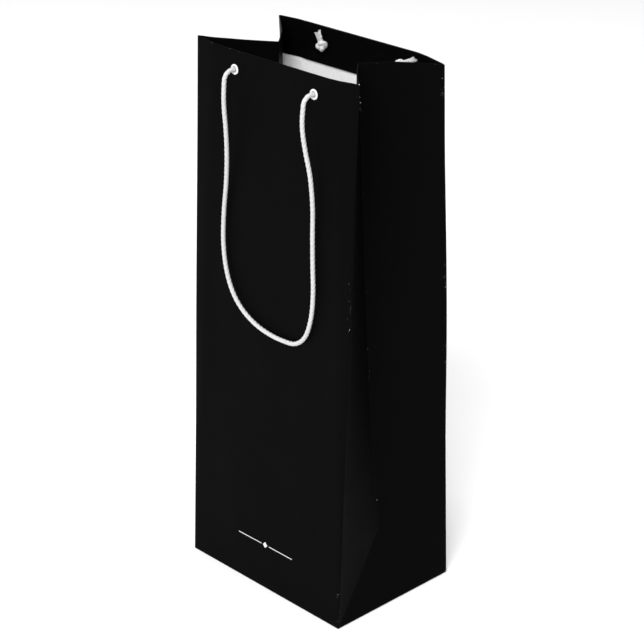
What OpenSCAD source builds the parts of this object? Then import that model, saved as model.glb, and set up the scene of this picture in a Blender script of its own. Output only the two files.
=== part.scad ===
// Wine gift bag of folded paper with a turned-in hem, punched eyelets and two knotted cord handles.
// Millimetres, +Z up. The origin is the middle of the base, on the surface that the bag stands on.
// The front panel faces -Y. The bag stands open, with its walls leaning in a little towards the mouth.

/* [Bag] */
// Width of the bag across the front
bag_w = 138; // [130:1:150]
// Depth of the bag from front to back
bag_d = 99; // [90:1:110]
// Height of the paper from the base crease to the rim, along the panel
bag_h = 350; // [330:1:380]
// Thickness of the laminated paper
paper_t = 0.3; // [0.25:0.05:0.4]

/* [Lean] */
// How far the flat middle of each panel leans in at the rim
panel_lean = 13.5; // [10:0.5:15]
// How much further the corners are pulled in at the rim
corner_pull = 1.5; // [1:0.5:5]
// Width of the bent strip beside each corner, at the rim
wing_w = 20; // [15:1:25]

/* [Rim] */
// Height of the hem that is turned in at the rim
hem_h = 24.5; // [22:0.5:32]
// Thickness of the card inside the front and rear hems
top_card_t = 0.8; // [0.5:0.1:1]
// Height of the card inside the front and rear hems
top_card_h = 22; // [18:0.5:22]

/* [Base] */
// Thickness of the loose base card
base_card_t = 1.2; // [0.8:0.1:1.5]
// Length of the loose base card
base_card_w = 131; // [125:1:131]
// Width of the loose base card
base_card_d = 95; // [88:1:95]
// How far the front and rear bottom flaps run in from their creases
bottom_flap_run = 62; // [55:1:64]

/* [Handles] */
// Diameter of the handle cord
cord_d = 2.8; // [2.5:0.1:3.2]
// Distance between the two holes of a handle
hole_spacing = 68; // [66:1:70]
// Distance of the holes below the rim
hole_drop = 13; // [12:0.5:15]
// Distance of the hinge line of a handle from the face of its panel
hinge_out = 6; // [6:0.1:7]
// Diameter of a handle's knot
knot_d = 8.2; // [7.5:0.1:9.5]

/* [Eyelets] */
// Diameter of an eyelet's flange
eyelet_flange_d = 6.4; // [6:0.1:8]
// Diameter of an eyelet's hole
eyelet_bore_d = 3.4; // [3.3:0.1:3.8]

/* [Hidden] */
$fn = 48;

paper_black = "#17171a";
card_grey = "#b9b4aa";
cord_white = "#ecebe8";

glue_gap = 0.05;        // between sheets that are glued together
seam_gap = 0.4;         // between a panel's inside face and the edge of a gusset
free_gap = 0.3;         // between pieces that move apart
hem_inset = 4;          // from the corner to the end of the front and rear hems
card_drop = 1.8;        // from the rim down to the top edge of the card in the hem
barrel_d = 4.4;         // the eyelet's outside between its flanges
hole_d = barrel_d + 0.2;
half_w = bag_w / 2;
half_d = bag_d / 2;
lean_angle = asin(panel_lean / bag_h);
hole_x = hole_spacing / 2;
hole_s = bag_h - hole_drop;
card_depth = paper_t + glue_gap;                        // from a panel's outer face to its top card
hem_depth = card_depth + top_card_t + glue_gap;         // from a panel's outer face to its hem
hem_back = hem_depth + paper_t;                         // from a panel's outer face to the hem's inside

// The handle's cord from its left hole to its right one, hanging down. Each point is its distance to the
// right of the middle, out from the panel's face and down from the holes.
handle_route = [
    [-34, 6, 0], [-34, 6.9, 4], [-34, 7.9, 9], [-34.2, 8.3, 15], [-34.4, 7.6, 24], [-34.4, 6.2, 36],
    [-35.3, 4.4, 52], [-37.4, 2.8, 70], [-40, 2.1, 90], [-40.4, 2, 109.5], [-37.7, 2, 126],
    [-31.8, 2, 139.4], [-23, 2, 148.7], [-10.8, 2, 155], [2, 2, 157.8], [15, 2, 158.3], [26, 2, 156.6],
    [34.3, 2, 149.3], [38.8, 2, 136], [40, 2, 120], [39, 2, 102], [38.4, 2.2, 84], [38.6, 3, 66],
    [37.4, 4.4, 48], [34.8, 6.2, 33], [33.6, 7.6, 22], [33.6, 8.3, 14], [33.9, 7.9, 9],
    [34, 6.9, 4], [34, 6, 0]
];

// Where each knot's tail ends: right, into the bag and up from the knot's middle.
front_left_tail = [-6, 1, 6.5];
front_right_tail = [5, 1, 7.5];
rear_left_tail = [-2.5, 0.5, 8];
rear_right_tail = [12.5, 0.5, 6.5];
tail_d = 3.4;
// How far right and up from its hole each rear knot sits.
rear_left_shift = [3.8, 1.8];
rear_right_shift = [2, 3.4];

// ---- Walls -------------------------------------------------------------------------------------------
// A wall's own frame: X across, Y into the bag from the panel's outer face, Z up the panel from its crease.

module on_front() translate([0, -half_d, 0]) rotate([-lean_angle, 0, 0]) children();
module on_rear() mirror([0, 1, 0]) on_front() children();

// Where the panel's flat middle ends, at distance s up the panel.
function bend_x(s) = half_w - wing_w * s / bag_h;
// How far the bent strip is pulled in from the panel's plane, at x across and s up the panel.
function pull_at(x, s) = max(0, (x - bend_x(s)) * corner_pull / wing_w);

// The cross-section of a sheet that lies behind the panel's face, from depth near to depth far.
function wall_section(s, near, far, inset) =
    let (w = half_w - inset, p = pull_at(w, s), b = bend_x(s))
    [[-w, near + p, s], [-b, near, s], [b, near, s], [w, near + p, s],
     [w, far + p, s], [b, far, s], [-b, far, s], [-w, far + p, s]];

module wall_sheet(near, far, from_s, to_s, inset = 0) {
    points = concat(wall_section(from_s, near, far, inset), wall_section(to_s, near, far, inset));
    sides = [for (i = [0:7]) [i, (i + 1) % 8, 8 + (i + 1) % 8, 8 + i]];
    caps = [for (k = [0, 8]) for (q = [[0, 1, 6, 7], [1, 2, 5, 6], [2, 3, 4, 5]])
        k == 0 ? [for (i = [3:-1:0]) q[i]] : [for (i = q) i + 8]];
    polyhedron(points, [for (f = concat(sides, caps)) [for (i = [len(f) - 1:-1:0]) f[i]]]);
}

module hole_pair(d, far) {
    for (side = [-1, 1])
        translate([side * hole_x, -1, hole_s]) rotate([-90, 0, 0]) cylinder(h = far + 2, d = d);
}

module panel() difference() {
    wall_sheet(0, paper_t, 0, bag_h);
    hole_pair(hole_d, paper_t);
}

module hem() difference() {
    union() {
        wall_sheet(hem_depth, hem_back, bag_h - hem_h, bag_h, hem_inset);
        wall_sheet(card_depth, hem_back, bag_h - paper_t, bag_h, hem_inset);
    }
    hole_pair(hole_d, hem_back);
}

module top_card() difference() {
    card_w = 2 * bend_x(bag_h) - 2;
    translate([-card_w / 2, card_depth, bag_h - card_drop - top_card_h])
        cube([card_w, top_card_t, top_card_h]);
    hole_pair(hole_d, hem_back);
}

// ---- Gussets -----------------------------------------------------------------------------------------

// The corner of the bag at distance s up the panel: its distance from the middle plane, and its height.
function corner_y(s) = half_d - s * sin(lean_angle) - pull_at(half_w, s) * cos(lean_angle);
function corner_z(s) = s * cos(lean_angle) - pull_at(half_w, s) * sin(lean_angle);

// How far the gusset's centre crease is folded in, from the width of paper on each side of it.
function fold_in(s) = sqrt(pow(half_d, 2) - pow(corner_y(s), 2));
apex_in = fold_in(half_d);
apex_z = sqrt(pow(half_d, 2) - pow(apex_in, 2));
fold_sink = half_d - apex_z;            // how far the centre crease sits below the corners

// A point of the gusset's inner edge: on the slanting crease below the apex, and on the centre crease above.
function inner_edge(s) = s < half_d
    ? [half_w - apex_in * s / half_d, -half_d * (1 - s / half_d), apex_z * s / half_d]
    : [half_w - fold_in(s), 0, corner_z(s) - fold_sink];
function outer_edge(s) = [half_w, -corner_y(s), corner_z(s)];
function unit(v) = v / norm(v);
function gusset_normal(s) = unit(cross([0, 0, 1], outer_edge(s) - inner_edge(s)));

// One row of the gusset's points, from depth near to depth far behind its outer face.
function gusset_row(s, near, far) =
    let (a = outer_edge(s), b = inner_edge(s), n = gusset_normal(s), along = unit(b - a),
         trim = (paper_t + seam_gap + far) / abs(along.y))
    [a + along * trim - n * near, b - along * free_gap - n * near,
     b - along * free_gap - n * far, a + along * trim - n * far];

// The front half of the right gusset, as a strip with a row of points at each height in the list.
module gusset_strip(near, far, heights) {
    last = len(heights) - 1;
    points = [for (s = heights) each gusset_row(s, near, far)];
    // each patch is split into two triangles along the same diagonal on the outside and on the inside
    walls = [for (i = [0:last - 1]) for (j = [0:3])
        let (a = 4 * i + j, b = 4 * i + (j + 1) % 4, c = a + 4, d = b + 4)
        each j == 2 ? [[d, b, a], [c, d, a]] : [[c, b, a], [c, d, b]]];
    top = 4 * last;
    caps = [[1, 2, 0], [2, 3, 0], [top + 2, top + 1, top], [top + 3, top + 2, top]];
    polyhedron(points, concat(walls, caps));
}

// Heights for the rows: a few below the apex, then closer together where the centre crease curves most.
low_rows = [for (i = [0:4]) 6 + (half_d - 6) * i / 5];
high_rows = [for (i = [0:14]) half_d + (bag_h - half_d) * pow(i / 14, 1.4)];

hem_rows = [for (i = [0:3]) bag_h - hem_h + hem_h * i / 3];

module gusset_half() gusset_strip(0, paper_t, concat(low_rows, high_rows));
module gusset_half_hem() gusset_strip(card_depth, card_depth + paper_t, hem_rows);

// The triangle below the apex, which tips inwards about the base crease.
module base_triangle() {
    tip_angle = asin(apex_in / half_d);
    run = half_d - 3 * free_gap;
    translate([half_w, 0, 0]) rotate([0, -tip_angle, 0])
        rotate([90, 0, -90]) linear_extrude(paper_t)
            polygon([[-run, 2 * paper_t], [run, 2 * paper_t], [0, half_d - free_gap]]);
}

// The glue tab at the end of the sheet, inside the rear panel's left edge.
module seam_flap_shape() intersection() {
    wall_sheet(card_depth, card_depth + paper_t, 3, bag_h - hem_h - 2);
    translate([-half_w + 2, -1, 0]) cube([14, 12, bag_h]);
}

// ---- Base --------------------------------------------------------------------------------------------

layer = paper_t + glue_gap;
crease_gap = 0.8;       // from the outside of the bag to the edge of a bottom flap

module bottom_flap(level) {
    y0 = half_d - crease_gap;
    x0 = half_w - crease_gap;
    translate([0, 0, level * layer]) linear_extrude(paper_t)
        polygon([[-x0, y0], [x0, y0], [x0 - bottom_flap_run, y0 - bottom_flap_run],
                 [bottom_flap_run - x0, y0 - bottom_flap_run]]);
}

module side_bottom_flap() {
    tip_x = 10;
    tip_y = 34;
    x0 = half_w - crease_gap;
    y0 = half_d - crease_gap;
    translate([0, 0, 2 * layer]) linear_extrude(paper_t)
        polygon([[x0, -y0], [x0, y0], [tip_x, tip_y], [tip_x, -tip_y]]);
}

module base_card_shape() {
    corner_r = 3;
    translate([0, 0, 3 * layer]) linear_extrude(base_card_t)
        offset(corner_r) square([base_card_w - 2 * corner_r, base_card_d - 2 * corner_r], center = true);
}

// ---- Handles -----------------------------------------------------------------------------------------

module at_hole(side) translate([side * hole_x, 0, hole_s]) rotate([-90, 0, 0]) children();

// A rolled eyelet that clamps the panel, the card and the hem. Its axis points into the bag.
module eyelet() {
    flange_t = 0.6;
    bore_r = eyelet_bore_d / 2;
    flange_r = eyelet_flange_d / 2;
    rotate_extrude() difference() {
        union() {
            translate([bore_r, -flange_t]) square([barrel_d / 2 - bore_r, hem_back + 2 * flange_t]);
            translate([bore_r, -flange_t]) square([flange_r - bore_r, flange_t]);
            translate([bore_r, hem_back]) square([flange_r - bore_r, flange_t]);
        }
        // a bevel on the outer flange's rim
        translate([flange_r, -flange_t]) rotate(45) square(flange_t * 0.6, center = true);
    }
}

// A knot inside the bag, with the cord's run out through the eyelet and its cut tail.
module knot(tail, shift = [0, 0]) {
    knot_depth = hem_back + 0.6 + 0.1 + knot_d / 2;
    stub_out = hinge_out - cord_d / 2 - 2 * free_gap;
    tilt = unit(tail);
    translate([0, 0, -stub_out]) cylinder(h = stub_out + knot_depth, d = cord_d);
    translate([shift.x, -shift.y, knot_depth]) {
        sphere(d = knot_d);
        rotate([0, acos(tilt.y), atan2(-tilt.z, tilt.x)]) cylinder(h = norm(tail), d = tail_d);
    }
}

// A smooth curve through a route's points.
function curve_point(p, q, r, s, t) =
    0.5 * (2 * q + (r - p) * t + (2 * p - 5 * q + 4 * r - s) * t * t + (3 * q - p - 3 * r + s) * t * t * t);
function curve(route, steps) = let (last = len(route) - 1)
    [for (i = [0:last - 1]) for (k = [0:steps - 1])
        curve_point(route[max(i - 1, 0)], route[i], route[i + 1], route[min(i + 2, last)], k / steps),
     route[last]];

// A round tube along the points of a line that never runs straight out of the panel.
module tube(line, r, sides) {
    last = len(line) - 1;
    rings = [for (i = [0:last])
        let (t = unit(line[min(i + 1, last)] - line[max(i - 1, 0)]),
             across = unit(cross(t, [0, -1, 0])),
             out = cross(across, t))
        [for (k = [0:sides - 1]) line[i] + r * (cos(360 * k / sides) * across + sin(360 * k / sides) * out)]];
    walls = [for (i = [0:last - 1]) for (k = [0:sides - 1])
        [i * sides + k, i * sides + (k + 1) % sides, (i + 1) * sides + (k + 1) % sides, (i + 1) * sides + k]];
    caps = [[for (k = [sides - 1:-1:0]) k], [for (k = [0:sides - 1]) last * sides + k]];
    polyhedron([for (ring = rings) each ring], concat(walls, caps));
}

module handle_cord() {
    line = curve([for (p = handle_route) [p.x, -p.y, hole_s - p.z]], 2);
    tube(line, cord_d / 2, 8);
}

// ---- The pieces --------------------------------------------------------------------------------------

module front_panel() color(paper_black) on_front() panel();
module rear_panel() color(paper_black) on_rear() panel();
module front_hem() color(paper_black) on_front() hem();
module rear_hem() color(paper_black) on_rear() hem();
module front_top_card() color(card_grey) on_front() top_card();
module rear_top_card() color(card_grey) on_rear() top_card();
module side_seam_flap() color(paper_black) on_rear() seam_flap_shape();

module right_gusset_front() color(paper_black) gusset_half();
module right_gusset_rear() color(paper_black) mirror([0, 1, 0]) gusset_half();
module left_gusset_front() color(paper_black) mirror([1, 0, 0]) gusset_half();
module left_gusset_rear() color(paper_black) mirror([1, 0, 0]) mirror([0, 1, 0]) gusset_half();
module right_gusset_front_hem() color(paper_black) gusset_half_hem();
module right_gusset_rear_hem() color(paper_black) mirror([0, 1, 0]) gusset_half_hem();
module left_gusset_front_hem() color(paper_black) mirror([1, 0, 0]) gusset_half_hem();
module left_gusset_rear_hem() color(paper_black) mirror([1, 0, 0]) mirror([0, 1, 0]) gusset_half_hem();
module right_base_triangle() color(paper_black) base_triangle();
module left_base_triangle() color(paper_black) mirror([1, 0, 0]) base_triangle();

module bottom_flap_rear() color(paper_black) bottom_flap(0);
module bottom_flap_front() color(paper_black) mirror([0, 1, 0]) bottom_flap(1);
module bottom_flap_right() color(paper_black) side_bottom_flap();
module bottom_flap_left() color(paper_black) mirror([1, 0, 0]) side_bottom_flap();
module base_card() color(card_grey) base_card_shape();

module front_left_eyelet() color(cord_white) on_front() at_hole(-1) eyelet();
module front_right_eyelet() color(cord_white) on_front() at_hole(1) eyelet();
module rear_left_eyelet() color(cord_white) on_rear() at_hole(-1) eyelet();
module rear_right_eyelet() color(cord_white) on_rear() at_hole(1) eyelet();
module front_left_knot() color(cord_white) on_front() at_hole(-1) knot(front_left_tail);
module front_right_knot() color(cord_white) on_front() at_hole(1) knot(front_right_tail);
module rear_left_knot() color(cord_white) on_rear() at_hole(-1) knot(rear_left_tail, rear_left_shift);
module rear_right_knot() color(cord_white) on_rear() at_hole(1) knot(rear_right_tail, rear_right_shift);
module front_handle_cord() color(cord_white) on_front() handle_cord();
module rear_handle_cord() color(cord_white) on_rear() mirror([1, 0, 0]) handle_cord();

front_panel();
rear_panel();
front_hem();
rear_hem();
front_top_card();
rear_top_card();
left_gusset_front();
left_gusset_rear();
right_gusset_front();
right_gusset_rear();
left_gusset_front_hem();
left_gusset_rear_hem();
right_gusset_front_hem();
right_gusset_rear_hem();
left_base_triangle();
right_base_triangle();
side_seam_flap();
bottom_flap_left();
bottom_flap_right();
bottom_flap_front();
bottom_flap_rear();
base_card();
front_left_eyelet();
front_right_eyelet();
rear_left_eyelet();
rear_right_eyelet();
front_left_knot();
front_right_knot();
rear_left_knot();
rear_right_knot();
front_handle_cord();
rear_handle_cord();
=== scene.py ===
"""A black paper bag for one wine bottle, with two knotted white cord handles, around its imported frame.

The shapes are worked out in millimetres, in the frame's own axes, and turned into metres as each mesh is
made. Each shape is worked out for the front or the front right of the bag, and mirrored to where it goes.
"""
import math
import random

import bpy
import numpy as np
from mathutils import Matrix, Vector, noise


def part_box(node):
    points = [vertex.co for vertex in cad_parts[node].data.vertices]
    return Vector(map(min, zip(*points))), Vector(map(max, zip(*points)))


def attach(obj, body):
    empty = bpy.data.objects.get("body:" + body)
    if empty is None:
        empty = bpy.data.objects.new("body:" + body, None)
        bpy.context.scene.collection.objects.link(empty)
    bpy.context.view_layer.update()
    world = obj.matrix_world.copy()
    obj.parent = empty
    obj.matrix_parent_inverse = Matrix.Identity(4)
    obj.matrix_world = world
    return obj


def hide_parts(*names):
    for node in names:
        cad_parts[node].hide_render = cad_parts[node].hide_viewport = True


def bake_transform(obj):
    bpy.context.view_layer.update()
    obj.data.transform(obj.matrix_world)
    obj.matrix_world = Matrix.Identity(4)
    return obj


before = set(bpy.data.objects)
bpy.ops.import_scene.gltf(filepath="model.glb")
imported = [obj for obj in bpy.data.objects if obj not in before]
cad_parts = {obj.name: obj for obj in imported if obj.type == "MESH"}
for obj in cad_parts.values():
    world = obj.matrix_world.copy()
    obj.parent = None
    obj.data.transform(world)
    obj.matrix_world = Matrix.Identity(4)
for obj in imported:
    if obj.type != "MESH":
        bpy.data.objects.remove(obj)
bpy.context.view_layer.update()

# ---- Sizes, in millimetres ---------------------------------------------------------------------------------

MM = 0.001
panel_low, panel_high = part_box("front_panel")
HALF_W = round(panel_high[0] / MM, 3)
HALF_D = round(-panel_low[1] / MM, 3)
BAG_H = 350.0
PAPER_T = 0.3
PANEL_LEAN = 13.5       # how far a panel leans in at the rim
CORNER_PULL = 1.5       # how much further its corners are pulled in there
WING_W = 20.0           # width of the bent strip beside each corner, at the rim
HEM_H = 24.5
HEM_BACK = 1.5          # from a panel's outer face to the inside of its hem, over the card
PLAIN_HEM_BACK = 0.65   # and where there is no card
LAYER = 0.35            # from one bottom flap to the next
BASE_GAP = 0.8          # from the outside of the bag to the edge of a bottom flap
FLAP_RUN = 62.0

CREASE_R = 0.7          # how far the rounding of an upright crease reaches
BOTTOM_R = 0.8          # and of a crease round the base
RIM_GAP = 0.75          # from the rim down to where the panel's sheet gives way to the hem's fold
SOFT_BEND = 0.4         # how gently the wings bend, as a share of their width
# How far each corner of the rim has moved from where the folds alone would put it: across, back and up.
CORNER_SHIFTS = {
    (-1, -1): (0, -0.7, 0.7),
    (1, -1): (0, 0, 0),
    (-1, 1): (0, -3.0, 0.8),
    (1, 1): (0, 0.7, -2.5),
}
LEFT_FOLD_SHIFT = (-1.9, 0, -1.2)   # and the top of the left gusset's centre crease
SHIFT_FROM = 47.0       # how far from the middle of the bag the corners' shifts start
SHIFT_LOW = 200.0       # and how high up
# How far the front left and rear right creases bulge, backwards, at their fullest.
CREASE_BULGES = {
    (-1, -1): -0.5,
    (1, 1): 1.6,
}
BULGE_Z = 200.0         # the height of the fullest place
BULGE_REACH = 110.0     # and how far above and below it the bulge dies out
RIM_SAG = 1.35          # how far the middle of the front rim hangs below its corners
SAG_HALF = 42.0         # half the width over which it is lowest
SAG_LOW = 340.0         # the sag only squeezes the paper above the eyelets
SAG_RISE = 9.0          # and how far above there it is whole
BULGE_FROM = 25.0       # how far from the bag's middle, front to back, the bulges start
SAG_FROM = 22.0         # and how far the sag does
GROW_OVER = 10.0        # how much further out each of them is whole

HOLE_X = 34.0
HOLE_S = 337.0
HOLE_D = 4.6
CORD_D = 2.8
BORE_R = 1.7
FLANGE_R = 3.2
FLANGE_T = 0.6

LEAN = math.asin(PANEL_LEAN / BAG_H)
SIN, COS = math.sin(LEAN), math.cos(LEAN)

# The handle's cord, hanging down: to the right of the middle, out from the panel and down from the holes.
HANDLE_ROUTE = [
    (-34.2, 8.3, 15), (-34.4, 7.6, 24), (-34.4, 6.2, 36), (-35.3, 4.4, 52), (-37.4, 2.8, 70),
    (-40, 2.1, 90), (-40.4, 2, 109.5), (-37.7, 2, 126), (-31.8, 2, 139.4), (-23, 2, 148.7),
    (-10.8, 2, 155), (2, 2, 157.8), (15, 2, 158.3), (26, 2, 156.6), (34.3, 2, 149.3),
    (38.8, 2, 136), (40, 2, 120), (39, 2, 102), (38.4, 2.2, 84), (38.6, 3, 66),
    (37.4, 4.4, 48), (34.8, 6.2, 33), (33.6, 7.6, 22), (33.6, 8.3, 14),
]
# Where each knot's tail ends: right, into the bag and up from the knot's middle.
TAILS = {
    ("front", -1): (-6, 1, 6.5),
    ("front", 1): (5, 1, 7.5),
    ("rear", -1): (-2.5, 0.5, 8),
    ("rear", 1): (12.5, 0.5, 6.5),
}
# How far right and up from its hole each knot sits.
KNOT_SHIFTS = {
    ("front", -1): (0, 0),
    ("front", 1): (0, 0),
    ("rear", -1): (3.8, 1.8),
    ("rear", 1): (2, 3.4),
}
FRONT, REAR = (1, 1), (1, -1)


# ---- Small helpers -----------------------------------------------------------------------------------------

def smooth(t):
    t = min(max(t, 0.0), 1.0)
    return t * t * (3 - 2 * t)


def unit(v):
    v = np.array(v, float)
    return v / max(np.linalg.norm(v), 1e-9)


def wall_point(x, depth, s):
    """A point of the front wall: across, into the bag from the panel's face, and up the panel."""
    return np.array([x, -HALF_D + depth * COS + s * SIN, -depth * SIN + s * COS])


def mirrored(point, sides):
    return (point[0] * sides[0], point[1] * sides[1], point[2])


def in_metres(point, sides=FRONT):
    return tuple(c * MM for c in mirrored(point, sides))


def settled(point):
    """Where a point of the neatly folded bag has come to rest."""
    x, y, z = point
    high = smooth((z - SHIFT_LOW) / (BAG_H - SHIFT_LOW))
    to_corner = high * min(max((abs(x) - SHIFT_FROM) / (HALF_W - SHIFT_FROM), 0.0), 1.0)
    to_fold = high * max(0.0, 1 - abs(y) / (HALF_D - PANEL_LEAN)) if x < 0 else 0.0
    corner = CORNER_SHIFTS[(-1 if x < 0 else 1, -1 if y < 0 else 1)]
    moved = [c + to_corner * a + to_fold * b for c, a, b in zip(point, corner, LEFT_FOLD_SHIFT)]
    off_fullest = min(1.0, abs(z - BULGE_Z) / BULGE_REACH)
    at_crease = smooth((abs(x) - SHIFT_FROM) / (HALF_W - SHIFT_FROM))
    bulge = CREASE_BULGES.get((-1 if x < 0 else 1, -1 if y < 0 else 1), 0.0)
    moved[1] += bulge * at_crease * smooth((abs(y) - BULGE_FROM) / GROW_OVER) * (1 - off_fullest ** 2) ** 2
    between = 1 - smooth((abs(x) - SAG_HALF) / (HALF_W - SAG_HALF))
    at_front = smooth((-y - SAG_FROM) / GROW_OVER)
    moved[2] -= RIM_SAG * between * at_front * smooth((z - SAG_LOW) / SAG_RISE)
    return tuple(moved)


def catmull_rom(points, steps):
    """A smooth curve through the points."""
    pts = [np.array(p, float) for p in points]
    last = len(pts) - 1
    curve = []
    for i in range(last):
        p, q, r, s = pts[max(i - 1, 0)], pts[i], pts[i + 1], pts[min(i + 2, last)]
        for k in range(steps):
            t = k / steps
            a = (r - p) * t
            b = (2 * p - 5 * q + 4 * r - s) * t * t
            c = (3 * q - p - 3 * r + s) * t ** 3
            curve.append(0.5 * (2 * q + a + b + c))
    curve.append(pts[-1])
    return np.array(curve)


def evenly(line, step):
    """The same line with its points a step apart."""
    along = np.concatenate([[0], np.cumsum(np.linalg.norm(np.diff(line, axis=0), axis=1))])
    count = max(2, int(round(along[-1] / step)) + 1)
    at = np.linspace(0, along[-1], count)
    return np.stack([np.interp(at, along, line[:, k]) for k in range(3)], axis=1)


def make_object(name, points, faces, sides=FRONT, materials=(), indices=None, sharp_angle=40):
    """A mesh object from points in millimetres of the front right part, mirrored to the side it is for."""
    placed = [in_metres(settled(mirrored(p, sides))) for p in points]
    if sides[0] * sides[1] < 0:
        faces = [tuple(reversed(f)) for f in faces]
    mesh = bpy.data.meshes.new(name)
    mesh.from_pydata(placed, [], faces)
    for mat in materials:
        mesh.materials.append(mat)
    if indices is not None:
        mesh.polygons.foreach_set("material_index", indices)
    mesh.polygons.foreach_set("use_smooth", [True] * len(faces))
    mesh.set_sharp_from_angle(angle=math.radians(sharp_angle))
    mesh.update()
    obj = bpy.data.objects.new(name, mesh)
    bpy.context.scene.collection.objects.link(obj)
    return obj


# ---- Camera ------------------------------------------------------------------------------------------------

AZIMUTH, ELEVATION = math.radians(46.2), math.radians(24.08)
CAMERA_DISTANCE = 1.2341        # metres
AIM_RIGHT = 0.00183             # how far to the right of the bag's middle the camera aims, in metres
AIM_DOWN = 0.00224              # and how far below it
SENSOR_WIDTH = 36               # millimetres, as is the lens
LENS = 110.2
back = Vector((
    math.sin(AZIMUTH) * math.cos(ELEVATION),
    -math.cos(AZIMUTH) * math.cos(ELEVATION),
    math.sin(ELEVATION),
))
right = Vector((math.cos(AZIMUTH), math.sin(AZIMUTH), 0))
up = back.cross(right)
target = Vector((0, 0, BAG_H / 2 * MM)) + right * AIM_RIGHT - up * AIM_DOWN

camera = bpy.data.objects.new("camera", bpy.data.cameras.new("camera"))
camera.data.sensor_width = SENSOR_WIDTH
camera.data.lens = LENS
camera.data.clip_start = 0.05
camera.data.clip_end = 50
camera.location = target + back * CAMERA_DISTANCE
camera.rotation_mode = "QUATERNION"
camera.rotation_quaternion = (-back).to_track_quat("-Z", "Y")
bpy.context.scene.collection.objects.link(camera)
bpy.context.scene.camera = camera


# ---- Materials ---------------------------------------------------------------------------------------------

def new_material(name, roughness, specular=0.5):
    mat = bpy.data.materials.new(name)
    mat.use_nodes = True
    shader = mat.node_tree.nodes["Principled BSDF"]
    shader.inputs["Roughness"].default_value = roughness
    shader.inputs["Specular IOR Level"].default_value = specular
    return mat, mat.node_tree, shader


def noise_of(tree, scale, detail=4, stretch=(1, 1, 1), source="Object"):
    coords = tree.nodes.new("ShaderNodeTexCoord")
    mapping = tree.nodes.new("ShaderNodeMapping")
    mapping.inputs["Scale"].default_value = stretch
    texture = tree.nodes.new("ShaderNodeTexNoise")
    texture.inputs["Scale"].default_value = scale
    texture.inputs["Detail"].default_value = detail
    tree.links.new(coords.outputs[source], mapping.inputs["Vector"])
    tree.links.new(mapping.outputs["Vector"], texture.inputs["Vector"])
    return texture.outputs["Fac"]


def spread_to(tree, value, low, high, to_low, to_high):
    node = tree.nodes.new("ShaderNodeMapRange")
    for name, number in (("From Min", low), ("From Max", high), ("To Min", to_low), ("To Max", to_high)):
        node.inputs[name].default_value = number
    tree.links.new(value, node.inputs["Value"])
    return node.outputs["Result"]


def times(tree, a, b):
    node = tree.nodes.new("ShaderNodeMath")
    node.operation = "MULTIPLY"
    tree.links.new(a, node.inputs[0])
    tree.links.new(b, node.inputs[1])
    return node.outputs["Value"]


def mixed(tree, factor, a, b):
    """A colour between a and b. Each is a colour or a socket."""
    node = tree.nodes.new("ShaderNodeMix")
    node.data_type = "RGBA"
    tree.links.new(factor, node.inputs["Factor"])
    for socket, colour in ((node.inputs[6], a), (node.inputs[7], b)):
        if isinstance(colour, tuple):
            socket.default_value = (*colour, 1)
        else:
            tree.links.new(colour, socket)
    return node.outputs[2]


def bumped(tree, height, distance, strength, under=None):
    node = tree.nodes.new("ShaderNodeBump")
    node.inputs["Distance"].default_value = distance
    node.inputs["Strength"].default_value = strength
    tree.links.new(height, node.inputs["Height"])
    if under is not None:
        tree.links.new(under, node.inputs["Normal"])
    return node.outputs["Normal"]


def black_paper():
    """Black paper with a matt film on it, rubbed through to the white core in specks on its creases."""
    mat, tree, shader = new_material("black_laminated_paper", 0.5, 0.015)
    cloud = noise_of(tree, 14, 3)
    ink = mixed(tree, cloud, (0.0011, 0.0011, 0.0012), (0.0017, 0.0017, 0.0019))
    worn = tree.nodes.new("ShaderNodeAttribute")
    worn.attribute_name = "wear"
    speck = spread_to(tree, noise_of(tree, 1100, 2), 0.69, 0.72, 0, 1)
    place = spread_to(tree, noise_of(tree, 38, 2), 0.56, 0.63, 0, 1)
    wear = times(tree, times(tree, speck, place), worn.outputs["Fac"])
    tree.links.new(mixed(tree, wear, ink, (0.62, 0.62, 0.62)), shader.inputs["Base Color"])
    rough = spread_to(tree, noise_of(tree, 55, 4), 0.3, 0.7, 0.46, 0.54)
    tree.links.new(rough, shader.inputs["Roughness"])
    tooth = bumped(tree, noise_of(tree, 2600, 3), 0.00004, 0.35)
    swell = bumped(tree, noise_of(tree, 16, 1), 0.001, 0.12, tooth)
    tree.links.new(swell, shader.inputs["Normal"])
    return mat


def white_paper():
    """The uncoated inside of the sheet."""
    mat, tree, shader = new_material("white_paper", 0.82, 0.3)
    fibres = noise_of(tree, 900, 5, (1, 1, 0.35))
    tone = spread_to(tree, fibres, 0.3, 0.7, 0, 1)
    pulp = mixed(tree, tone, (0.78, 0.773, 0.778), (0.85, 0.843, 0.848))
    tree.links.new(pulp, shader.inputs["Base Color"])
    tooth = bumped(tree, fibres, 0.00008, 0.5)
    swell = bumped(tree, noise_of(tree, 24, 2), 0.001, 0.2, tooth)
    tree.links.new(swell, shader.inputs["Normal"])
    return mat


def greyboard():
    """Grey pulp with darker flecks."""
    mat, tree, shader = new_material("greyboard", 0.88, 0.25)
    mottle = spread_to(tree, noise_of(tree, 260, 6), 0.3, 0.7, 0, 1)
    pulp = mixed(tree, mottle, (0.30, 0.275, 0.235), (0.46, 0.43, 0.38))
    flecks = spread_to(tree, noise_of(tree, 1100, 2, (1, 0.4, 1)), 0.66, 0.72, 0, 0.8)
    tree.links.new(mixed(tree, flecks, pulp, (0.13, 0.12, 0.11)), shader.inputs["Base Color"])
    tree.links.new(bumped(tree, noise_of(tree, 1400, 4), 0.0001, 0.5), shader.inputs["Normal"])
    return mat


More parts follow.
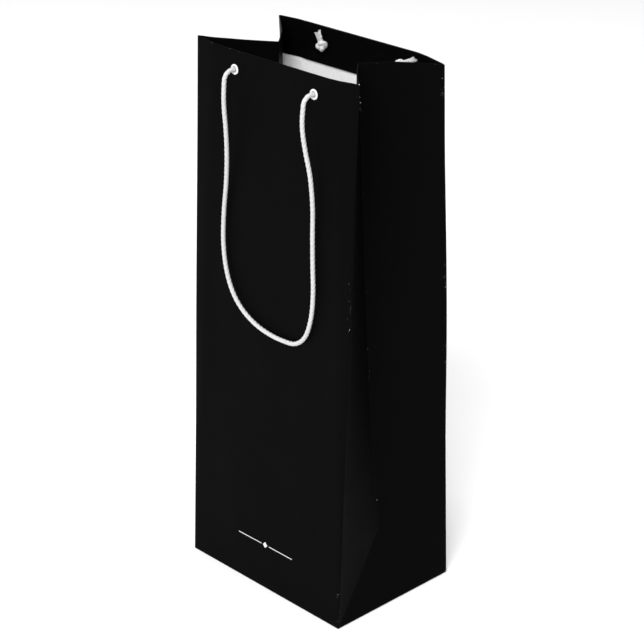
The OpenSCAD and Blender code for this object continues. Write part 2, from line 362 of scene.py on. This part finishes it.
def white_cord():
    """Fine white fibres that run along each strand."""
    mat, tree, shader = new_material("white_cord", 0.62, 0.3)
    fibres = noise_of(tree, 1, 4, (70, 5, 1), "UV")
    tone = spread_to(tree, fibres, 0.3, 0.7, 0, 1)
    tree.links.new(mixed(tree, tone, (0.43, 0.43, 0.43), (0.58, 0.58, 0.575)), shader.inputs["Base Color"])
    shader.inputs["Sheen Weight"].default_value = 0.25
    shader.inputs["Sheen Roughness"].default_value = 0.4
    tree.links.new(bumped(tree, fibres, 0.00012, 0.7), shader.inputs["Normal"])
    return mat


def white_enamel():
    mat, tree, shader = new_material("white_enamel", 0.3, 0.5)
    tone = spread_to(tree, noise_of(tree, 420, 3), 0.3, 0.7, 0, 1)
    tree.links.new(mixed(tree, tone, (0.64, 0.64, 0.64), (0.72, 0.72, 0.715)), shader.inputs["Base Color"])
    rough = spread_to(tree, noise_of(tree, 700, 3), 0.3, 0.7, 0.24, 0.40)
    tree.links.new(rough, shader.inputs["Roughness"])
    tree.links.new(bumped(tree, noise_of(tree, 900, 2), 0.00003, 0.4), shader.inputs["Normal"])
    return mat


def white_ink():
    mat, tree, shader = new_material("white_ink", 0.55, 0.35)
    tone = spread_to(tree, noise_of(tree, 1800, 3), 0.3, 0.6, 0, 1)
    tree.links.new(mixed(tree, tone, (0.44, 0.44, 0.44), (0.66, 0.66, 0.66)), shader.inputs["Base Color"])
    return mat


BLACK, WHITE, BOARD = black_paper(), white_paper(), greyboard()
CORD, ENAMEL, INK = white_cord(), white_enamel(), white_ink()


# ---- Cords -------------------------------------------------------------------------------------------------

LAY = 9.0               # millimetres along the cord for one full turn of its three strands
GROOVE = 0.17           # depth of the grooves between strands, as a share of the cord's radius
SIDES = 24


def carried_frames(line):
    """Two directions across the line at each point, which don't spin round it as it bends."""
    tangents = np.gradient(line, axis=0)
    tangents /= np.maximum(np.linalg.norm(tangents, axis=1, keepdims=True), 1e-9)
    across = unit(np.cross(tangents[0], [0.31, 0.2, 0.93]))
    pairs = []
    for tangent in tangents:
        across = unit(across - tangent * np.dot(across, tangent))
        pairs.append((across, np.cross(tangent, across)))
    return pairs


def twisted_tube(line, radii, twist, sides, offset):
    """Points, faces and UVs of a closed cord of three strands along a line in millimetres."""
    pairs = carried_frames(line)
    along = np.concatenate([[0], np.cumsum(np.linalg.norm(np.diff(line, axis=0), axis=1))])
    points, uvs = [], []
    for i, (across, over) in enumerate(pairs):
        turn = 2 * math.pi * along[i] / LAY if twist else 0
        for k in range(sides):
            lobe = abs((3 * k / sides) % 1 - 0.5) * 2
            dent = GROOVE * (1 - lobe) ** 2.2 if twist else 0
            angle = 2 * math.pi * k / sides + turn
            outward = math.cos(angle) * across + math.sin(angle) * over
            points.append(line[i] + radii[i] * (1 - dent) * outward)
            uvs.append((k / sides, along[i] / (2 * math.pi * CORD_D / 2)))
    faces = []
    for i in range(len(line) - 1):
        for k in range(sides):
            n = (k + 1) % sides
            near, far = offset + i * sides, offset + (i + 1) * sides
            faces.append((near + k, near + n, far + n, far + k))
    top = (len(line) - 1) * sides
    faces.append(tuple(offset + k for k in range(sides - 1, -1, -1)))
    faces.append(tuple(offset + top + k for k in range(sides)))
    return points, faces, uvs


def make_cord_object(name, parts, sides):
    """One object from several tubes, with their UVs."""
    points, faces, uvs = [], [], []
    for line, radii, twist, count in parts:
        more = twisted_tube(line, radii, twist, count, len(points))
        points += more[0]
        faces += more[1]
        uvs += more[2]
    obj = make_object(name, points, faces, sides, [CORD], sharp_angle=60)
    layer = obj.data.uv_layers.new(name="strands")
    for loop in obj.data.loops:
        layer.data[loop.index].uv = uvs[loop.vertex_index]
    return obj


def on_wall(route_point):
    """A point given as right, out and down from the holes."""
    x, out, down = route_point
    return wall_point(x, -out, HOLE_S - down)


BEND_R = 6.0            # the cord's bend outside the hole
BEND_OUT = 2.2          # how far out from the panel's face that bend starts
INSIDE = 4.2            # how far into the bag the cord runs, into its knot
BEHIND_HEM = 2.4        # and a point of that run just behind the hem
KNOT_W = 0.80           # an overhand knot's width and height, as shares of the curve it is drawn from
KNOT_H = 0.86
KNOT_DEPTH = HEM_BACK + FLANGE_T + 2.8      # from the panel's face to a knot's middle
KNOT_WEAVE = 1.2        # how far the cord goes in and out as it crosses itself
KNOT_OPENING = 0.42     # where on that curve the cord joins and leaves it, in radians
KNOT_SWELL = 0.15       # how much thicker the cord is where it is free of the eyelet
END_SWELL = 0.1         # and how much more at its cut end
TWIST_END = 2.6         # from a tail's tip back to where its twist ends
FIBRES = 16             # loose fibres at the cut of each strand


def hole_run(side):
    """From inside the knot, straight out through the eyelet and round the bend to hanging down."""
    run = [(side * HOLE_X, -INSIDE, 0), (side * HOLE_X, -BEHIND_HEM, 0), (side * HOLE_X, 0, 0)]
    for degrees in (0, 22, 45, 68, 90):
        a = math.radians(degrees)
        run.append((side * HOLE_X, BEND_OUT + BEND_R * math.sin(a), BEND_R * (1 - math.cos(a))))
    return run


handle_line = catmull_rom([on_wall(p) for p in hole_run(-1) + HANDLE_ROUTE + hole_run(1)[::-1]], 12)
handle_line = evenly(handle_line, 0.5)


def frayed_end(rng, tip, direction):
    """The lines, radii and side counts of the strands past the twist's end and the fibres at their cuts."""
    side_a = unit(np.cross(direction, [0.2, 1, 0.1]))
    side_b = np.cross(direction, side_a)
    pieces = []
    for k in range(3):
        angle = 2 * math.pi * k / 3 + rng.uniform(-0.3, 0.3)
        outward = math.cos(angle) * side_a + math.sin(angle) * side_b
        aside = np.cross(outward, direction)
        start = tip - direction * 3.0
        length = rng.uniform(2.6, 3.4)
        strand = [
            start + outward * 0.72,
            start + outward * 0.9 + direction * length * 0.5,
            start + outward * 1.15 + direction * length,
        ]
        strand = evenly(catmull_rom(strand, 5), 0.35)
        pieces.append((strand, np.linspace(0.92, 0.86, len(strand)), 10))
        for _ in range(FIBRES):
            root = strand[-1] + outward * rng.uniform(-0.6, 0.6) + aside * rng.uniform(-0.6, 0.6)
            lean = unit(direction + outward * rng.uniform(-0.1, 0.7) + side_a * rng.uniform(-0.4, 0.4))
            fibre = np.array([root - direction * 0.3, root + lean * 0.4, root + lean * rng.uniform(0.7, 1.3)])
            pieces.append((fibre, [0.09, 0.08, 0.03], 5))
    return pieces


def overhand_knot(place, side, sides):
    """An overhand knot pulled up against the inner flange, with a cut tail whose strands have come apart."""
    rng = random.Random(f"{place} {side}")
    radius = CORD_D / 2
    tail = np.array(TAILS[(place, side)], float)
    direction = unit(tail)
    flat_turn = math.atan2(direction[2], direction[0]) - math.pi / 2
    shift_x, shift_up = KNOT_SHIFTS[(place, side)]
    middle = np.array([shift_x, KNOT_DEPTH, shift_up])

    def spot(x, up, depth):
        """Turned so that the cut lobe is under the tail."""
        c, s = math.cos(flat_turn), math.sin(flat_turn)
        return middle + np.array([KNOT_W * (x * c - up * s), depth, KNOT_H * (x * s + up * c)])

    loop = []
    for k in range(29):
        t = KNOT_OPENING + (2 * math.pi - 2 * KNOT_OPENING) * k / 28
        a = t + math.pi
        loop.append(spot(
            math.sin(a) + 2 * math.sin(2 * a),
            math.cos(a) - 2 * math.cos(2 * a),
            -KNOT_WEAVE * math.sin(3 * a),
        ))
    tail_end = middle + tail
    tail_start = loop[-1] * 0.45 + tail_end * 0.55
    run_in = [np.array([0, 0.8, 0]), np.array([0, BEHIND_HEM, 0])]
    local = catmull_rom(run_in + loop + [tail_start, tail_end - direction * TWIST_END], 6)
    local = evenly(local, 0.4)

    def placed(points):
        return np.array([wall_point(side * HOLE_X + p[0], p[1], HOLE_S + p[2]) for p in points])

    # swollen past the eyelet, where the cord is free of it, and a little more at the loose cut end
    radii = [
        radius * (1 + KNOT_SWELL * smooth(p[1] - HEM_BACK) + END_SWELL * smooth((i - len(local) + 12) / 12))
        for i, p in enumerate(local)
    ]
    parts = [(placed(local), radii, True, SIDES)]
    parts += [(placed(strand), radii, False, count)
              for strand, radii, count in frayed_end(rng, tail_end, direction)]
    name = "left" if side < 0 else "right"
    knot = make_cord_object(f"{place}_{name}_overhand_knot", parts, sides)
    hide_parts(f"{place}_{name}_knot")
    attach(knot, f"{place}_wall")
    return knot


# The two knots of each wall, and its handle's cord from hole to hole, which bends out and down outside each
# hole.
for place, sides in (("front", FRONT), ("rear", (-1, -1))):
    wall_sides = (1, sides[1])
    knots = [overhand_knot(place, side, wall_sides) for side in (-1, 1)]
    rope = make_cord_object(
        f"{place}_handle_rope", [(handle_line, [CORD_D / 2] * len(handle_line), True, SIDES)], sides)
    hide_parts(f"{place}_handle_cord")
    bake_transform(rope)


# ---- Paper -------------------------------------------------------------------------------------------------

LOWEST = 0.01           # the back of a sheet stays this far above the floor


def paper(name, rows, sides, outside, inside, cut=(), wear=None):
    """A solid sheet. rows holds the points of its outer face, and its thickness is behind them.

    Outwards is across the columns' direction and then the rows'. cut names the rims that show the core.
    """
    front = np.array(rows, float)
    n, m = front.shape[:2]
    normals = np.cross(np.gradient(front, axis=1), np.gradient(front, axis=0))
    normals /= np.maximum(np.linalg.norm(normals, axis=2, keepdims=True), 1e-12)
    behind = front - normals * PAPER_T
    behind[:, :, 2] = np.maximum(behind[:, :, 2], LOWEST)
    points = list(front.reshape(-1, 3)) + list(behind.reshape(-1, 3))
    half = n * m
    faces, indices = [], []
    for i in range(n - 1):
        for j in range(m - 1):
            a = i * m + j
            faces.append((a, a + 1, a + m + 1, a + m))
            faces.append((half + a, half + a + m, half + a + m + 1, half + a + 1))
            indices += [0, 1]
    rims = {
        "first": list(range(m))[::-1],
        "last": [(n - 1) * m + j for j in range(m)],
        "left": [i * m for i in range(n)],
        "right": [i * m + m - 1 for i in range(n)][::-1],
    }
    for rim, line in rims.items():
        for a, b in zip(line, line[1:]):
            faces.append((a, b, half + b, half + a))
            indices.append(1 if rim in cut else 0)
    obj = make_object(name, points, faces, sides, [outside, inside], indices)
    values = np.zeros((n, m)) if wear is None else np.array(wear, float)
    attribute = obj.data.attributes.new("wear", "FLOAT", "POINT")
    attribute.data.foreach_set("value", np.tile(values.reshape(-1), 2).astype(np.float32))
    return obj


def wing_pull(x, s):
    """How far the sheet is pulled in from its plane, bending softly from where the flat middle ends."""
    wing = max(WING_W * s / BAG_H, 1e-6)
    from_bend = (abs(x) - (HALF_W - wing)) / wing

    def rise(v):
        if v <= 0:
            return 0.0
        return v * v / (2 * SOFT_BEND) if v < SOFT_BEND else v - SOFT_BEND / 2

    return CORNER_PULL * s / BAG_H * rise(from_bend) / rise(1)


def panel_wave(x, s, seed):
    """The slight unevenness of a paper panel, inwards. It dies out towards the creases and the stiff hem."""
    fade = smooth((HALF_W - abs(x)) / 22) * smooth(s / 35) * smooth((BAG_H - 40 - s) / 50)
    broad = noise.noise(Vector((x / 55, s / 75, seed)))
    fine = noise.noise(Vector((x / 19, s / 24, seed + 9)))
    return fade * (0.22 + 0.34 * broad + 0.06 * fine)


def outer_corner(s):
    pull = CORNER_PULL * s / BAG_H
    return np.array([HALF_W, -HALF_D + s * SIN + pull * COS, s * COS - pull * SIN])


def fold_in(s):
    return math.sqrt(HALF_D ** 2 - outer_corner(s)[1] ** 2)


APEX_IN = fold_in(HALF_D)
APEX_Z = math.sqrt(HALF_D ** 2 - APEX_IN ** 2)
FOLD_SINK = HALF_D - APEX_Z


def inner_edge(s):
    """The far side of a gusset half: the slanting crease below the apex, and the centre crease above it."""
    if s < HALF_D:
        share = s / HALF_D
        return np.array([HALF_W - APEX_IN * share, -HALF_D * (1 - share), APEX_Z * share])
    return np.array([HALF_W - fold_in(s), 0, outer_corner(s)[2] - FOLD_SINK])


def gusset_direction(s):
    s = max(s, 1.0)
    return unit(inner_edge(s) - outer_corner(s))


def gusset_normal(s):
    return unit(np.cross(gusset_direction(s), [0, 0, 1]))


def crease_reach(s):
    return min(CREASE_R, 0.8 * s)


WRAP = [k / 6 for k in range(1, 7)]     # steps round an upright crease
FLAT_COLUMNS = 64
RIM_WEAR = 0.4          # how worn the rim is, as a share of the upright creases' wear


def panel_row(s, seed):
    """The points of a panel's outer face at one height, from crease to crease and round both of them."""
    reach = crease_reach(s)
    flat_end = HALF_W - reach
    xs = np.linspace(-flat_end, flat_end, FLAT_COLUMNS)
    flat = [wall_point(x, wing_pull(x, s) + panel_wave(x, s, seed), s) for x in xs]
    first, corner = flat[-1], outer_corner(s)
    last = corner + gusset_direction(s) * reach
    wrap = [(1 - t) ** 2 * first + 2 * t * (1 - t) * corner + t * t * last for t in WRAP]
    other = [p * np.array([-1, 1, 1]) for p in wrap]
    return np.array(other[::-1] + flat + wrap)


def wear_row():
    edge = [1.0] * len(WRAP)
    return edge + [1.0] + [0.0] * (FLAT_COLUMNS - 2) + [1.0] + edge


PUNCH_SIDES = 40
PUNCH_FROM, PUNCH_TO = -3, 5    # from in front of a sheet to behind it


def cut_holes(obj, sides):
    """Punches both handle holes through a sheet."""
    for side in (-1, 1):
        ring = []
        for depth in (PUNCH_FROM, PUNCH_TO):
            for k in range(PUNCH_SIDES):
                a = 2 * math.pi * k / PUNCH_SIDES
                ring.append(wall_point(
                    side * HOLE_X + HOLE_D / 2 * math.cos(a), depth, HOLE_S + HOLE_D / 2 * math.sin(a)))
        nexts = [(k + 1) % PUNCH_SIDES for k in range(PUNCH_SIDES)]
        faces = [(k, n, PUNCH_SIDES + n, PUNCH_SIDES + k) for k, n in enumerate(nexts)]
        faces += [tuple(range(PUNCH_SIDES - 1, -1, -1)), tuple(range(PUNCH_SIDES, 2 * PUNCH_SIDES))]
        cutter = make_object("punch", ring, faces, sides, [BLACK])
        punch = obj.modifiers.new("punch", "BOOLEAN")
        punch.operation = "DIFFERENCE"
        punch.solver = "EXACT"
        punch.object = cutter
        graph = bpy.context.evaluated_depsgraph_get()
        mesh = bpy.data.meshes.new_from_object(obj.evaluated_get(graph))
        obj.modifiers.clear()
        obj.data = mesh
        bpy.data.objects.remove(cutter)


PANEL_ROWS = 141


def make_panel(place, sides, level, seed):
    """A panel's sheet, from the rounding of its bottom crease up to the rim."""
    heights = [BOTTOM_R + (BAG_H - RIM_GAP - BOTTOM_R) * k / (PANEL_ROWS - 1) for k in range(PANEL_ROWS)]
    lowest = panel_row(BOTTOM_R, seed)
    along = np.gradient(lowest, axis=0)
    rows = []
    for t in (1.0, 0.75, 0.5, 0.25):
        row = []
        for p, tangent in zip(lowest, along):
            inwards = unit([-tangent[1], tangent[0], 0])
            knee = np.array([p[0], p[1], 0])
            under = knee + inwards * BOTTOM_R + np.array([0, 0, level * LAYER])
            row.append((1 - t) ** 2 * p + 2 * t * (1 - t) * knee + t * t * under)
        rows.append(row)
    rows += [panel_row(s, seed) for s in heights]
    wear = [[1.0] * len(lowest)] * 4 + [wear_row()] * len(heights)
    obj = paper(f"{place}_panel_paper", rows, sides, BLACK, WHITE, wear=wear)
    cut_holes(obj, sides)
    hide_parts(f"{place}_panel")
    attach(obj, f"{place}_wall")


RIM_ROWS = 12           # rows of a hem that go over the rim
HEM_ROWS = 13           # and rows that hang inside it
HEM_TOP = 1.5           # from the rim down to the first of those


def fold_profile(depth):
    """A hem's course, as depth and distance up the panel: over the rim and down inside."""
    course = [(0.0, BAG_H - RIM_GAP)]
    for k in range(RIM_ROWS - 1):
        a = math.pi * k / (RIM_ROWS - 2)
        course.append((depth / 2 * (1 - math.cos(a)), BAG_H - depth / 2 + depth / 2 * math.sin(a)))
    course += [(depth, BAG_H - HEM_TOP - (HEM_H - HEM_TOP) * k / (HEM_ROWS - 1)) for k in range(HEM_ROWS)]
    return course


def hem_wear(columns):
    """A hem is worn where it goes over the rim."""
    return [[RIM_WEAR] * columns] * RIM_ROWS + [[0.0] * columns] * HEM_ROWS


row_cache = {}


def panel_row_cached(s, seed):
    key = (round(s, 4), seed)
    if key not in row_cache:
        row_cache[key] = panel_row(s, seed)
    return row_cache[key]


CARD_HALF = HALF_W - WING_W - 1     # half the width of a top card
CARD_FADE = 7.0         # how far past the card its hem thins out


def make_hem(place, sides, seed):
    """The front or rear hem, which is thick over its card and thin beyond it."""
    at_rim = panel_row(BAG_H, seed)
    profiles = []
    for p in at_rim:
        over_card = smooth((CARD_HALF + CARD_FADE - abs(p[0])) / CARD_FADE)
        profiles.append(fold_profile(PLAIN_HEM_BACK + (HEM_BACK - PLAIN_HEM_BACK) * over_card))
    rows = []
    for i in range(len(profiles[0])):
        row = []
        for j, course in enumerate(profiles):
            depth, s = course[i]
            here, below = panel_row_cached(s, seed), panel_row_cached(s - 1, seed)
            along = here[min(j + 1, len(here) - 1)] - here[max(j - 1, 0)]
            normal = unit(np.cross(along, here[j] - below[j]))
            row.append(here[j] - normal * depth)
        rows.append(row)
    wear = hem_wear(len(at_rim))
    obj = paper(f"{place}_hem_paper", rows, sides, BLACK, WHITE, cut=("last",), wear=wear)
    cut_holes(obj, sides)
    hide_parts(f"{place}_hem")
    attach(obj, f"{place}_wall")


GUSSET_COLUMNS = 26
GUSSET_BOW = 0.9        # how far a gusset half bows in at its middle
GUSSET_WAVE = 0.25      # and how uneven that is


def gusset_point(share, s, seed):
    """A point of the right front gusset half's outer face, from the upright crease to the centre crease."""
    start = outer_corner(s) + gusset_direction(s) * crease_reach(s)
    end = inner_edge(s)
    point = start + (end - start) * share
    bow = GUSSET_BOW * math.sin(math.pi * share) * smooth(s / 70)
    wave = GUSSET_WAVE * math.sin(math.pi * share) * smooth(s / 40)
    wave *= noise.noise(Vector((share * 2, s / 60, seed)))
    point = point - gusset_normal(s) * (bow + wave)
    if s >= HALF_D and abs(point[1]) < CREASE_R:
        slope = fold_in(s) / abs(outer_corner(s)[1])
        point[0] += slope * (CREASE_R - abs(point[1])) ** 2 / (2 * CREASE_R)
    return point


def gusset_shares():
    """Closer together beside the centre crease, where the fold is rounded."""
    even = [0.96 * k / (GUSSET_COLUMNS - 6) for k in range(GUSSET_COLUMNS - 5)]
    return even + [0.97, 0.98, 0.99, 0.995, 1.0]


def make_gusset_half(name, node, sides, seed):
    shares = gusset_shares()
    heights = [2.0 + (HALF_D - 2.0) * k / 24 for k in range(24)]
    heights += [HALF_D + (BAG_H - RIM_GAP - HALF_D) * k / 110 for k in range(111)]
    rows = [[gusset_point(c, s, seed) for c in shares] for s in heights]
    near_fold = [1.0 if c < 0.01 or c > 0.985 else 0.0 for c in shares]
    obj = paper(name, rows, sides, BLACK, WHITE, wear=[near_fold] * len(rows))
    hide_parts(node)
    bend_gusset(obj)


def make_gusset_hem(name, node, sides, seed):
    shares = gusset_shares()
    course = fold_profile(PLAIN_HEM_BACK)
    rows = []
    for depth, s in course:
        row = []
        for share in shares:
            point = gusset_point(share, s, seed)
            # both halves turn to the same direction where they meet at the centre crease
            to_fold = smooth(1 - abs(point[1]) / (2 * CREASE_R))
            normal = unit(gusset_normal(s) * (1 - to_fold) + np.array([1, 0, 0]) * to_fold)
            row.append(point - normal * depth)
        rows.append(row)
    wear = hem_wear(len(shares))
    obj = paper(name, rows, sides, BLACK, WHITE, cut=("last",), wear=wear)
    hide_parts(node)
    bend_gusset(obj)


def bend_gusset(obj):
    """Bakes a gusset half's placement into its mesh, so that it stays where it was made."""
    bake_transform(obj)


LIP = 2.0               # the strip of a base triangle that is tucked behind each gusset half
LIP_DEPTH = 0.45        # and how far behind it is
TRIANGLE_ROWS = 31
TRIANGLE_COLUMNS = 29
TIP_HALF = 0.06         # half the width that the triangle keeps at its apex


def make_base_triangle(name, node, sides):
    """The flat triangle under a gusset's apex, with its lips and its rounded lower crease."""
    up_crease = unit(inner_edge(HALF_D) - inner_edge(0.0))
    across = outer_corner(25.0) - inner_edge(25.0)
    across = unit(across - up_crease * np.dot(across, up_crease))
    inwards = -gusset_normal(25.0)
    flip = np.array([1, -1, 1])
    rows = []
    for share in [k / (TRIANGLE_ROWS - 1) for k in range(TRIANGLE_ROWS)]:
        half = max(HALF_D * (1 - share), TIP_HALF)
        middle = [
            np.array([HALF_W - APEX_IN * share, half * (2 * c / (TRIANGLE_COLUMNS - 1) - 1), APEX_Z * share])
            for c in range(TRIANGLE_COLUMNS)
        ]
        lip = min(LIP, 0.5 * share * HALF_D)
        tucked = middle[0] + across * lip + inwards * (LIP_DEPTH if lip > 2 * LIP_DEPTH else lip / 2)
        rows.append([tucked] + middle + [tucked * flip])
    lowest = rows[1]
    under = []
    for t in (1.0, 0.66, 0.33):
        row = []
        for p in lowest:
            knee = np.array([HALF_W, p[1], 0])
            base = np.array([HALF_W - BASE_GAP, p[1], 2 * LAYER])
            row.append((1 - t) ** 2 * p + 2 * t * (1 - t) * knee + t * t * base)
        under.append(row)
    obj = paper(name, under + rows[1:], sides, BLACK, WHITE)
    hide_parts(node)
    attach(obj, "base")


def make_seam_flap():
    """The glue tab inside the rear panel's left edge. Its face shows the white side of the sheet."""
    first, last, from_s, to_s = -53.0, -67.0, 3.0, BAG_H - HEM_H - 2
    rows = []
    for k in range(91):
        s = from_s + (to_s - from_s) * k / 90
        row = []
        for x in np.linspace(first, last, 12):
            row.append(wall_point(x, wing_pull(x, s) + panel_wave(x, s, REAR_SEED) + PLAIN_HEM_BACK, s))
        rows.append(row)
    obj = paper("side_seam_flap_paper", rows, REAR, WHITE, WHITE)
    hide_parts("side_seam_flap")
    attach(obj, "rear_wall")


def make_end_flap(place, sides, level):
    """The front or rear bottom flap, a trapezoid with 45 degree sides."""
    edge_y, edge_x = HALF_D - BASE_GAP, HALF_W - BASE_GAP
    rows = []
    for v in np.linspace(0, 1, 16):
        from_crease = FLAP_RUN * (1 - v)
        half = edge_x - from_crease
        across = np.linspace(-half, half, 24)
        rows.append([np.array([x, from_crease - edge_y, level * LAYER]) for x in across])
    obj = paper(f"bottom_flap_{place}_paper", rows, sides, BLACK, WHITE, cut=("first",))
    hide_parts(f"bottom_flap_{place}")
    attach(obj, "base")


def make_side_flap(place, sides):
    """The left or right bottom flap, which narrows towards the middle of the base."""
    tip_x, tip_y = 10.0, 34.0
    edge_y, edge_x = HALF_D - BASE_GAP, HALF_W - BASE_GAP
    rows = []
    for v in np.linspace(1, -1, 20):
        row = []
        for u in np.linspace(0, 1, 16):
            half = tip_y + (edge_y - tip_y) * u
            row.append(np.array([tip_x + (edge_x - tip_x) * u, v * half, 2 * LAYER]))
        rows.append(row)
    obj = paper(f"bottom_flap_{place}_paper", rows, sides, BLACK, WHITE, cut=("left",))
    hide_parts(f"bottom_flap_{place}")
    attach(obj, "base")


FRONT_SEED, REAR_SEED = 3.0, 17.0
make_panel("front", FRONT, 1, FRONT_SEED)
make_panel("rear", REAR, 0, REAR_SEED)
make_hem("front", FRONT, FRONT_SEED)
make_hem("rear", REAR, REAR_SEED)
for hand, x_sign in (("right", 1), ("left", -1)):
    for place, y_sign in (("front", 1), ("rear", -1)):
        seed = 30.0 + 5 * x_sign + y_sign
        sides = (x_sign, y_sign)
        make_gusset_half(f"{hand}_gusset_{place}_paper", f"{hand}_gusset_{place}", sides, seed)
        make_gusset_hem(f"{hand}_gusset_{place}_hem_paper", f"{hand}_gusset_{place}_hem", sides, seed)
    make_base_triangle(f"{hand}_base_triangle_paper", f"{hand}_base_triangle", (x_sign, 1))
    make_side_flap(hand, (x_sign, 1))
make_seam_flap()
make_end_flap("front", FRONT, 1)
make_end_flap("rear", REAR, 0)


# ---- Eyelets -----------------------------------------------------------------------------------------------

def make_eyelet(place, side, sides):
    """A rolled eyelet: a domed outer flange, a barrel through the sheets and a curled inner flange."""
    dome = [(BORE_R, -0.08), (BORE_R + 0.08, -0.34), (BORE_R + 0.32, -0.54), (BORE_R + 0.75, -FLANGE_T),
            (BORE_R + 1.22, -0.54), (FLANGE_R - 0.16, -0.36), (FLANGE_R, -0.15), (FLANGE_R - 0.03, -0.01)]
    barrel_r = BORE_R + 0.5
    curl = [(r, HEM_BACK - depth) for r, depth in dome[::-1]]
    profile = dome + [(barrel_r, -0.01), (barrel_r, HEM_BACK + 0.01)] + curl
    count = 56
    points = []
    for k in range(count):
        a = 2 * math.pi * k / count
        for r, depth in profile:
            points.append(wall_point(side * HOLE_X + r * math.cos(a), depth, HOLE_S + r * math.sin(a)))
    size = len(profile)
    faces = []
    for k in range(count):
        for i in range(size):
            a, b = k * size + i, k * size + (i + 1) % size
            c, d = ((k + 1) % count) * size + (i + 1) % size, ((k + 1) % count) * size + i
            faces.append((a, b, c, d))
    hand = "left" if side < 0 else "right"
    ring = make_object(f"{place}_{hand}_eyelet_ring", points, faces, sides, [ENAMEL], sharp_angle=50)
    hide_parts(f"{place}_{hand}_eyelet")
    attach(ring, f"{place}_wall")


for place, sides in (("front", FRONT), ("rear", REAR)):
    for side in (-1, 1):
        make_eyelet(place, side, sides)


# ---- The printed mark and the boards -----------------------------------------------------------------------

MARK_S = 31.0           # its height up the front panel
MARK_HALF = 25.0
RULE_HALF = 0.28
DIAMOND = 2.1
MARK_GAP = 1.4          # between the diamond's points and each rule
INK_T = 0.03


def printed(x, s, lift):
    return wall_point(x, wing_pull(x, s) + panel_wave(x, s, FRONT_SEED) - lift, s)


def make_mark():
    """A plain rule with a small diamond in its middle, printed low on the front."""
    points, faces = [], []

    def patch(outline):
        start, count = len(points), len(outline)
        points.extend(printed(x, s, INK_T) for x, s in outline)
        points.extend(printed(x, s, 0.005) for x, s in outline)
        faces.append(tuple(start + k for k in range(count)))
        faces.append(tuple(start + count + k for k in reversed(range(count))))
        for k in range(count):
            n = (k + 1) % count
            faces.append((start + k, start + count + k, start + count + n, start + n))

    steps = 24
    run = MARK_HALF - DIAMOND - MARK_GAP
    for sign in (-1, 1):
        for k in range(steps):
            ends = sorted(sign * (DIAMOND + MARK_GAP + run * j / steps) for j in (k, k + 1))
            patch([(ends[0], MARK_S - RULE_HALF), (ends[1], MARK_S - RULE_HALF),
                   (ends[1], MARK_S + RULE_HALF), (ends[0], MARK_S + RULE_HALF)])
    patch([(0, MARK_S - DIAMOND), (DIAMOND, MARK_S), (0, MARK_S + DIAMOND), (-DIAMOND, MARK_S)])
    mark = make_object("front_printed_rule", points, faces, FRONT, [INK])
    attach(mark, "front_wall")


make_mark()
for board in ("front_top_card", "rear_top_card", "base_card"):
    for material_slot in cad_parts[board].material_slots:
        material_slot.material = BOARD


# ---- Floor and light ---------------------------------------------------------------------------------------

def make_floor():
    mat, tree, shader = new_material("pale_floor", 0.9, 0.1)
    tone = noise_of(tree, 3, 2)
    tree.links.new(mixed(tree, tone, (0.86, 0.86, 0.86), (0.89, 0.89, 0.89)), shader.inputs["Base Color"])
    mesh = bpy.data.meshes.new("floor")
    size = 12
    corners = [(-size, -size, 0), (size, -size, 0), (size, size, 0), (-size, size, 0)]
    mesh.from_pydata(corners, [], [(0, 1, 2, 3)])
    mesh.materials.append(mat)
    floor = bpy.data.objects.new("floor", mesh)
    floor.location.z = -0.0002
    bpy.context.scene.collection.objects.link(floor)


def area_light(name, place, aim, size, power):
    light = bpy.data.lights.new(name, "AREA")
    light.shape = "DISK"
    light.size = size
    light.energy = power
    obj = bpy.data.objects.new(name, light)
    obj.location = place
    obj.rotation_euler = (Vector(aim) - Vector(place)).to_track_quat("-Z", "Y").to_euler()
    bpy.context.scene.collection.objects.link(obj)


make_floor()
area_light("key", (1.15, -1.95, 2.15), (0, 0, 0.2), 1.5, 95)
area_light("fill", (-1.9, -1.3, 1.7), (0, 0, 0.15), 1.6, 18)
area_light("top", (0.2, 0.5, 2.6), (0, 0, 0.1), 1.8, 30)
world = bpy.data.worlds.new("studio")
world.use_nodes = True
world.node_tree.nodes["Background"].inputs["Color"].default_value = (1, 1, 1, 1)
world.node_tree.nodes["Background"].inputs["Strength"].default_value = 0.5
bpy.context.scene.world = world
bpy.context.scene.view_settings.view_transform = "Standard"
